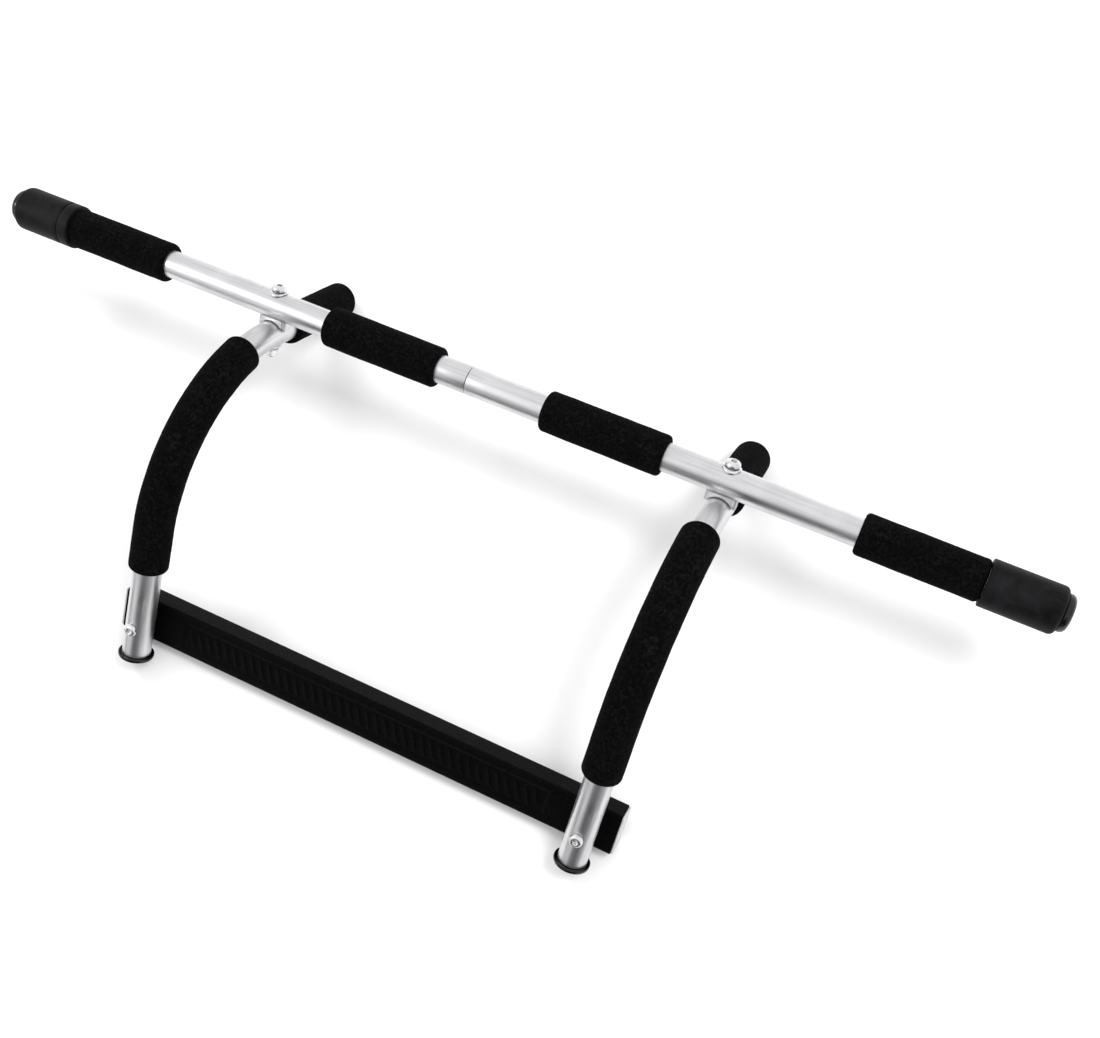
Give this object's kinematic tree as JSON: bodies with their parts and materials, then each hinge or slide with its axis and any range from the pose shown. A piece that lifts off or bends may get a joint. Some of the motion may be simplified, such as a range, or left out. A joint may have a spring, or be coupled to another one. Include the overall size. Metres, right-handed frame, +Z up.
{
  "type": "doorway pull up bar",
  "caption": "Long padded bar clamped across two bent padded arms whose legs are joined by a flat covered brace.",
  "frame": {"origin": "middle of the footprint at floor level, with the brace's rear lower edge and the two handle ends on the floor", "axes": "+X along the long bar towards its right end, +Y from the brace towards the handles, +Z up from the floor"},
  "size_m": [0.994, 0.4106, 0.1569],
  "materials": {
    "tube_steel": "silver grey, semi-gloss",
    "bolt_steel": "bright plated",
    "saddle_metal": "satin",
    "black_foam": "matte closed-cell foam, fine grain",
    "sleeve_rubber": "smooth matte dark grey",
    "plug_plastic": "glossy black, moulded",
    "cover_rubber": "matte black, finely speckled",
    "pale_plastic": "pale grey, moulded"
  },
  "bodies": {
    "root": {"bar_tube_left": "tube_steel", "bar_tube_right": "tube_steel", "bar_grip_inner_left": "black_foam", "bar_grip_inner_right": "black_foam", "bar_grip_outer_left": "black_foam", "bar_grip_outer_right": "black_foam", "end_sleeve_left": "sleeve_rubber", "end_sleeve_right": "sleeve_rubber", "bar_end_plug_left": "plug_plastic", "bar_end_plug_right": "plug_plastic", "brace_cover": "cover_rubber", "brace_tube": "tube_steel", "brace_end_plug_left": "pale_plastic", "brace_end_plug_right": "pale_plastic", "arm_tube_left": "tube_steel", "arm_tube_right": "tube_steel", "arm_grip_left": "black_foam", "arm_grip_right": "black_foam", "handle_grip_left": "black_foam", "handle_grip_right": "black_foam", "handle_plug_left": "plug_plastic", "handle_plug_right": "plug_plastic", "foot_plug_left": "plug_plastic", "foot_plug_right": "plug_plastic", "saddle_left": "saddle_metal", "saddle_right": "saddle_metal", "bar_bolt_left": "bolt_steel", "bar_bolt_right": "bolt_steel", "bar_bolt_washer_left": "bolt_steel", "bar_bolt_washer_right": "bolt_steel", "bar_nut_washer_left": "bolt_steel", "bar_nut_washer_right": "bolt_steel", "bar_nut_left": "bolt_steel", "bar_nut_right": "bolt_steel", "foot_bolt_left": "bolt_steel", "foot_bolt_right": "bolt_steel", "foot_washer_left": "bolt_steel", "foot_washer_right": "bolt_steel", "foot_nut_left": "bolt_steel", "foot_nut_right": "bolt_steel"}
  },
  "joints": []
}
